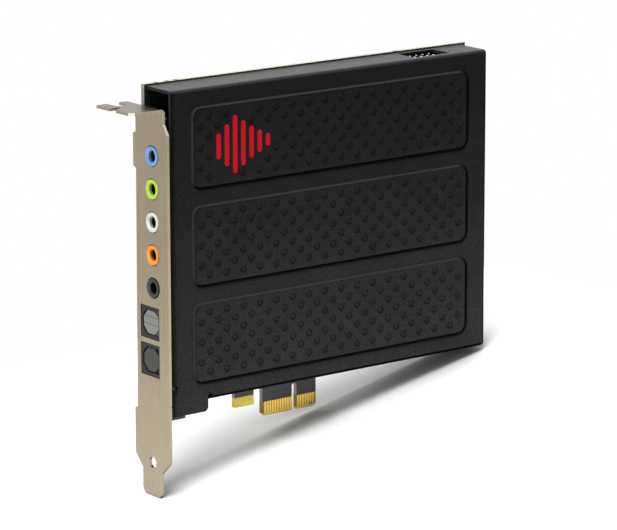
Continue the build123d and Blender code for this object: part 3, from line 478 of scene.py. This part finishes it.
# %% Make the board's faces
TAB_LEFT = -24.0
TAB_RIGHT = -15.4
TAB_TOP = 7.6
TIP_BARE = 0.75
MASK_END = 4.6
SOFT = 0.1
SOLDER_MASK = (0.011, 0.0115, 0.012, 1)
MASK_ON_COPPER = (0.022, 0.0225, 0.022, 1)
BARE_YELLOW = (0.92, 0.75, 0.11, 1)
BARE_BROWN = (0.42, 0.30, 0.10, 1)
BETWEEN_CONTACTS = (0.29, 0.185, 0.045, 1)
place = put(tree, "TexCoord").outputs["Object"]
upended = put(tree, "Mapping", Vector=place, Rotation=(math.radians(90), 0, 0)).outputs[0]
tracks = put(tree, "TexBrick", {"offset": 0.35}, Vector=upended, Scale=180.0,
             Mortar_Size=0.03, Mortar_Smooth=0.4, Brick_Width=1.7, Row_Height=0.22)
copper = tracks.outputs["Fac"]
mask_paint = use(tree, uneven_tone, "Colour", Colour=SOLDER_MASK, Size=10.0, Amount=0.1)
mask_paint = blend(tree, maths(tree, "MULTIPLY", copper, 0.5), mask_paint, MASK_ON_COPPER)
cut_edge = ramp(tree, maths(tree, "ABSOLUTE", facing(tree)[1]), 0.6, 0.5)
right_of_start = ramp(tree, x, (TAB_LEFT - SOFT) * MM, TAB_LEFT * MM)
in_tab = maths(tree, "MULTIPLY", right_of_start, ramp(tree, x, (TAB_RIGHT + SOFT) * MM, TAB_RIGHT * MM))
in_tab = maths(tree, "MULTIPLY", in_tab, ramp(tree, z, (TAB_TOP + SOFT) * MM, TAB_TOP * MM))
bare = use(tree, uneven_tone, "Colour", Colour=BARE_YELLOW, Size=1.5, Amount=0.12)
colour = blend(tree, cut_edge, mask_paint, resin)
colour = blend(tree, in_tab, colour, bare)
below_mask = ramp(tree, z, (MASK_END + SOFT) * MM, MASK_END * MM)
below_mask = maths(tree, "MULTIPLY", below_mask, ramp(tree, x, TAB_RIGHT * MM, (TAB_RIGHT + 0.5) * MM))
colour = blend(tree, below_mask, colour, BETWEEN_CONTACTS)
at_tip = ramp(tree, z, (TIP_BARE + SOFT) * MM, TIP_BARE * MM)
colour = blend(tree, at_tip, colour, blend(tree, 0.5, bare, BARE_BROWN))
grain = use(tree, fine_grain, "Normal", Size=0.3, Depth=0.004)
relief = put(tree, "Bump", Height=copper, Distance=0.03 * MM, Normal=grain)
join(tree, shader, Base_Color=colour, Normal=relief.outputs[0],
     Roughness=ramp(tree, maths(tree, "MAXIMUM", cut_edge, in_tab), 0.0, 1.0, 0.34, 0.7))
print("board finish uses", len(tree.nodes), "nodes")

# %% [markdown]
# Metal pieces share one recipe: a tinted metal whose roughness changes with a fine grain, with a slow
# change of tone where fingers and air have dulled it. Gold, tin-plated steel and aluminium differ in tint
# and in gloss.

# %% Make gold, steel and aluminium
METALS = {
    "gold": ((0.88, 0.57, 0.10), 0.30, 0.25),
    "steel": ((0.66, 0.65, 0.62), 0.30, 0.3),
    "can_aluminium": ((0.74, 0.74, 0.75), 0.36, 0.25),
}
for slot, (tint, roughness, size) in METALS.items():
    tree, shader = finish(slot, roughness, metallic=1.0)
    dulled = use(tree, uneven_tone, "Colour", Colour=tint + (1,), Size=3.0, Amount=0.08)
    grain = use(tree, fine_grain, "Height", Size=size)
    join(tree, shader, Base_Color=dulled,
         Roughness=ramp(tree, grain, 0.2, 0.8, roughness - 0.07, roughness + 0.09),
         Normal=use(tree, fine_grain, "Normal", Size=size, Depth=0.004))
print("metals:", list(METALS))

# %% [markdown]
# Plastic pieces are moulded. Each has a colour that is a little uneven, a satin gloss, a fine texture
# from the mould, and paler rubbed edges. Chip packages and ceramic parts follow the same recipe with a
# duller surface.

# %% Make the plain plastics
PLASTICS = {
    "black_plastic": ((0.010, 0.010, 0.011), 0.42),
    "chip_plastic": ((0.020, 0.020, 0.021), 0.55),
    "module_plastic": ((0.030, 0.030, 0.036), 0.40),
    "chip_ceramic": ((0.42, 0.30, 0.19), 0.50),
}


def mould(slot, tint, roughness, specular=0.5):
    """A moulded plastic, with its tree, its shader and its colour socket."""
    tree, shader = finish(slot, roughness, specular=specular)
    colour = use(tree, uneven_tone, "Colour", Colour=tint + (1,), Size=2.5, Amount=0.07)
    paler = tuple(min(1.0, part * 1.4 + 0.02) for part in tint) + (1,)
    worn_and_highlit = use(tree, edge_wear_and_highlight, "Mask", Width=0.15, Patchiness=0.6)
    colour = blend(tree, maths(tree, "MULTIPLY", worn_and_highlit, 0.5), colour, paler)
    grain = use(tree, fine_grain, "Height", Size=0.2)
    join(tree, shader, Base_Color=colour,
         Roughness=ramp(tree, grain, 0.2, 0.8, roughness - 0.05, roughness + 0.08),
         Normal=use(tree, fine_grain, "Normal", Size=0.2, Depth=0.006))
    return tree, shader, colour


for slot, (tint, roughness) in PLASTICS.items():
    mould(slot, tint, roughness, specular=0.25)
print("plastics:", list(PLASTICS))

# %% [markdown]
# A jack's coloured nose has a deep hole. Little light reaches its inside, and the moulding's own colour
# would still glow there, so the plastic turns dark within the hole's radius of the jack's axis. Only the
# nose is coloured: the body behind the bracket's sheet is black.

# %% Colour the five jacks
JACK_Y = -7.6
JACK_TOP = 90.4
JACK_PITCH = 10.2
JACK_HOLE = 1.85
JACK_FACE = -58.95
SHEET_BACK = -57.6
HOLE_BLACK = (0.006, 0.006, 0.006, 1)
JACK_TINTS = {
    "jack_blue": (0.20, 0.44, 0.86),
    "jack_green": (0.52, 0.74, 0.06),
    "jack_white": (0.70, 0.74, 0.66),
    "jack_orange": (0.95, 0.31, 0.018),
    "jack_black": (0.012, 0.012, 0.013),
}
for step, (slot, tint) in enumerate(JACK_TINTS.items()):
    tree, shader, colour = mould(slot, tint, 0.36)
    x, y, z = place_of(tree)
    across = maths(tree, "SUBTRACT", y, JACK_Y * MM)
    above = maths(tree, "SUBTRACT", z, (JACK_TOP - step * JACK_PITCH) * MM)
    from_axis = put(tree, "CombineXYZ", i0=across, i1=above).outputs[0]
    away = put(tree, "VectorMath", {"operation": "LENGTH"}, i0=from_axis).outputs["Value"]
    deep = ramp(tree, x, JACK_FACE * MM, (JACK_FACE + 3.0) * MM, 0.25, 0.95)
    inside = maths(tree, "MULTIPLY", ramp(tree, away, (JACK_HOLE + 0.08) * MM, JACK_HOLE * MM), deep)
    behind = ramp(tree, x, (SHEET_BACK - 0.1) * MM, SHEET_BACK * MM)
    dark = maths(tree, "MAXIMUM", inside, behind)
    join(tree, shader, Base_Color=blend(tree, dark, colour, HOLE_BLACK))
print("jacks:", list(JACK_TINTS))

# %% [markdown]
# The optical shutters are light grey above and dark grey below. Each door has two shallow lines across
# it, where the mould's inserts met, so a mask in Z darkens two thin bands.

# %% Colour the shutters
SHUTTERS = {
    "shutter_upper": ((0.205, 0.21, 0.195), 38.45),
    "shutter_lower": ((0.038, 0.036, 0.034), 26.68),
}
SHUTTER_LINES = (1.75, -0.55)
LINE_DARK = (0.02, 0.02, 0.02, 1)
for slot, (tint, middle) in SHUTTERS.items():
    tree, shader, colour = mould(slot, tint, 0.40, specular=0.35)
    height = place_of(tree)[2]
    lines = 0.0
    for line in SHUTTER_LINES:
        away = maths(tree, "ABSOLUTE", maths(tree, "SUBTRACT", height, (middle + line) * MM))
        lines = maths(tree, "MAXIMUM", ramp(tree, away, 0.32 * MM, 0.12 * MM), lines)
    join(tree, shader, Base_Color=blend(tree, maths(tree, "MULTIPLY", lines, 0.45), colour, LINE_DARK))
print("shutters:", list(SHUTTERS))

# %% [markdown]
# Each solid's row in the record names its slot, so one loop hands out the finishes.

# %% Hand out the finishes
for row in frame["record"]["subparts"]:
    solid = nodes[row["node"]]
    solid.data.materials.clear()
    solid.data.materials.append(looks[row["material_slot"]])
print("finished", len(nodes), "solids with", len(looks), "materials")

# %% [markdown]
# ## New pieces
# A few small things aren't in the CAD drawing and are modelled here, each from a primitive that is shaped
# in edit mode. Every one ends in the same way: its place goes into its mesh, its faces are turned
# outwards, and it rides on the body that it belongs to, so that it moves along in every pose. It sits a
# hair deep in what carries it, so that no gap shows.

# %% Write the helper that finishes a piece
SEAT = 0.01


def keep(piece, name, slot, body="card"):
    """Applies a piece's place and turn, faces it outwards, names it and lets it ride on a body."""
    bpy.ops.object.mode_set(mode="OBJECT")
    bpy.ops.object.transform_apply(location=True, rotation=True, scale=True)
    bpy.ops.object.mode_set(mode="EDIT")
    bpy.ops.mesh.select_all(action="SELECT")
    bpy.ops.mesh.normals_make_consistent(inside=False)
    bpy.ops.object.mode_set(mode="OBJECT")
    piece.name = name
    piece.data.name = name
    piece.data.materials.clear()
    piece.data.materials.append(looks[slot])
    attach(piece, body)
    return piece


print("new pieces sit", SEAT, "mm deep in what carries them")

# %% [markdown]
# ## The bars on the cover
# The top pad has a smooth field with a printed row of bars of different heights, like a level meter, which
# stands for sound. Each bar starts as a plane. Its four corners are bevelled until both ends are round,
# and an extrude gives it the thickness of thick paint.

# %% Model the sound bars
BAR_WIDTH = 1.7
BAR_RISE = 0.06
BAR_MIDDLE = 91.9
BARS = [(-38.3, 8), (-35.2, 13), (-32.1, 18), (-29.0, 14), (-25.9, 10), (-22.8, 7), (-19.7, 4)]
PRINT_RED = (0.45, 0.001, 0.010, 1)

bars = []
for bar_x, bar_height in BARS:
    bpy.ops.object.select_all(action="DESELECT")
    bpy.ops.mesh.primitive_plane_add(size=1, rotation=(math.radians(90), 0, 0))
    bar = bpy.context.object
    bar.scale = (BAR_WIDTH * MM, bar_height * MM, 1)
    bar.location = Vector((bar_x, PAD_FACE + SEAT, BAR_MIDDLE)) * MM
    bpy.ops.object.transform_apply(location=True, rotation=True, scale=True)
    bpy.ops.object.mode_set(mode="EDIT")
    bpy.ops.mesh.select_all(action="SELECT")
    bpy.ops.mesh.bevel(offset=BAR_WIDTH * 0.49 * MM, offset_type="OFFSET", segments=5, affect="VERTICES")
    bpy.ops.mesh.select_all(action="SELECT")
    bpy.ops.mesh.extrude_region_move(TRANSFORM_OT_translate={"value": (0, -(BAR_RISE + SEAT) * MM, 0)})
    bpy.ops.object.mode_set(mode="OBJECT")
    bars.append(bar)
bpy.ops.object.select_all(action="DESELECT")
for bar in bars:
    bar.select_set(True)
bpy.context.view_layer.objects.active = bars[0]
bpy.ops.object.join()

tree, shader = finish("mark_print", roughness=0.5, specular=0.12)
ink = use(tree, uneven_tone, "Colour", Colour=PRINT_RED, Size=1.5, Amount=0.08)
join(tree, shader, Base_Color=ink, Normal=use(tree, fine_grain, "Normal", Size=0.3, Depth=0.008))
sound_bars = keep(bars[0], "sound_bars", "mark_print")
print("sound bars have", len(sound_bars.data.polygons), "faces")

# %% [markdown]
# ## The faces of the shutters
# A shutter's moulded face stands forward into the mouth of its socket, just behind the frame, and its two
# corners towards the board are cut off like the plug's. It is a plane with two bevelled corners,
# extruded, with its front edges bevelled. Each face rides on its own shutter and swings with it.

# %% Model the shutter faces
FACE_LEFT = -9.75
FACE_RIGHT = -1.75
FACE_HALF = 3.72
FACE_CORNER = 2.2
FACE_BACK = -57.64
FACE_FRONT = -58.32
FACE_EDGE = 0.2
for slot, (tint, middle) in SHUTTERS.items():
    side = slot.split("_")[1]
    bpy.ops.object.select_all(action="DESELECT")
    bpy.ops.mesh.primitive_plane_add(size=1, rotation=(0, math.radians(90), 0))
    face = bpy.context.object
    face.scale = (2 * FACE_HALF * MM, (FACE_RIGHT - FACE_LEFT) * MM, 1)
    face.location = Vector((FACE_BACK, (FACE_LEFT + FACE_RIGHT) / 2, middle)) * MM
    bpy.ops.object.transform_apply(location=True, rotation=True, scale=True)
    for corner in face.data.vertices:
        corner.select = corner.co.y > FACE_LEFT * MM + 1e-6
    bpy.ops.object.mode_set(mode="EDIT")
    bpy.ops.mesh.select_mode(type="VERT")
    bpy.ops.mesh.bevel(offset=FACE_CORNER * MM, offset_type="OFFSET", segments=1, affect="VERTICES")
    bpy.ops.mesh.select_all(action="SELECT")
    bpy.ops.mesh.extrude_region_move(TRANSFORM_OT_translate={"value": ((FACE_FRONT - FACE_BACK) * MM, 0, 0)})
    bpy.ops.mesh.bevel(offset=FACE_EDGE * MM, segments=2, affect="EDGES")
    shutter_face = keep(face, "shutter_face_" + side, slot, side + "_shutter")
    print(shutter_face.name, "has", len(shutter_face.data.polygons), "faces")

# %% [markdown]
# ## Solder on the back
# Legs of the jacks and pins of the header come through the board, and each has a small cone of solder. A
# cone of solder is hollow-sided: it climbs the leg steeply and spreads out at its foot. Three extrudes
# from a filled circle, each smaller than the last, give that shape in few faces. One joint is modelled,
# copied for every leg, and the copies are joined.

# %% Model the solder joints
BOARD_BACK = 0.785
LEG_SPOTS = [(-52.4, 2.75), (-48.9, -2.75), (-46.1, 0.0)]
PIN_COLUMNS = [47.55 + (column - 2) * 2.54 for column in range(5)]
PIN_LEGS = (98.6, 96.06)
SOLDER_SPOTS = []
for step in range(len(JACK_TINTS)):
    for leg_x, leg_z in LEG_SPOTS:
        SOLDER_SPOTS.append((leg_x, BOARD_BACK - SEAT, JACK_TOP - step * JACK_PITCH + leg_z))
SOLDER_SPOTS += [(column, BOARD_BACK - SEAT, leg_z) for column in PIN_COLUMNS for leg_z in PIN_LEGS]
SOLDER_FOOT = 0.95
SOLDER_RINGS = [(0.12, 0.78), (0.2, 0.68), (0.34, 0.72)]
SOLDER_TIN = (0.66, 0.66, 0.67, 1)


def repeat(piece, places):
    """Puts a copy of a piece, with its own mesh, at each place and joins them all."""
    copies = [piece]
    for _ in places[1:]:
        bpy.ops.object.select_all(action="DESELECT")
        piece.select_set(True)
        bpy.context.view_layer.objects.active = piece
        bpy.ops.object.duplicate()
        copies.append(bpy.context.object)
    for copied, place in zip(copies, places):
        copied.location = Vector(place) * MM
        copied.select_set(True)
    bpy.context.view_layer.objects.active = piece
    bpy.ops.object.join()


bpy.ops.object.select_all(action="DESELECT")
bpy.ops.mesh.primitive_circle_add(vertices=10, radius=SOLDER_FOOT * MM, fill_type="NGON",
                                  rotation=(math.radians(-90), 0, 0))
joint = bpy.context.object
bpy.ops.object.transform_apply(location=True, rotation=True, scale=True)
bpy.ops.object.mode_set(mode="EDIT")
bpy.ops.mesh.select_all(action="SELECT")
for rise, shrink in SOLDER_RINGS:
    bpy.ops.mesh.extrude_region_move(TRANSFORM_OT_translate={"value": (0, rise * MM, 0)})
    bpy.ops.transform.resize(value=(shrink, 1, shrink))
bpy.ops.object.mode_set(mode="OBJECT")
bpy.ops.object.shade_smooth()
repeat(joint, SOLDER_SPOTS)

tree, shader = finish("solder", roughness=0.28, metallic=1.0)
tin = use(tree, uneven_tone, "Colour", Colour=SOLDER_TIN, Size=0.8, Amount=0.12)
join(tree, shader, Base_Color=tin, Normal=use(tree, fine_grain, "Normal", Size=0.25, Depth=0.01))
solder = keep(joint, "solder_joints", "solder")
print("solder joints:", len(SOLDER_SPOTS), "with", len(solder.data.polygons), "faces")

# %% [markdown]
# ## Tips of the header's pins
# Down in the port the tinned tips of the header's pins catch the light. A tip is a square peg that
# lengthens its pin and tapers at the end, as a pin is coined so that a plug slides on. It starts as a
# cube at the size of the pin, its upper end is bevelled, and the copies are joined.

# %% Model the pin tips
TIP_FOOT = 108.3
TIP_TOP = 109.5
TIP_WIDTH = 0.64
TIP_TAPER = 0.14
TIP_ROWS = [-2.6, -5.14]
TIP_SPOTS = [(column, row, (TIP_FOOT + TIP_TOP) / 2) for column in PIN_COLUMNS for row in TIP_ROWS]

bpy.ops.object.select_all(action="DESELECT")
bpy.ops.mesh.primitive_cube_add(size=1)
tip = bpy.context.object
tip.scale = (TIP_WIDTH * MM, TIP_WIDTH * MM, (TIP_TOP - TIP_FOOT) * MM)
bpy.ops.object.transform_apply(location=True, rotation=True, scale=True)
bpy.ops.object.mode_set(mode="EDIT")
bpy.ops.mesh.select_all(action="DESELECT")
bpy.ops.object.mode_set(mode="OBJECT")
for face in tip.data.polygons:
    face.select = face.normal.z > 0.5
bpy.ops.object.mode_set(mode="EDIT")
bpy.ops.mesh.select_mode(type="FACE")
bpy.ops.mesh.bevel(offset=TIP_TAPER * MM, segments=1, affect="EDGES")
bpy.ops.object.mode_set(mode="OBJECT")
repeat(tip, TIP_SPOTS)
pin_tips = keep(tip, "pin_tips", "steel")
print("pin tips:", len(TIP_SPOTS), "with", len(pin_tips.data.polygons), "faces")
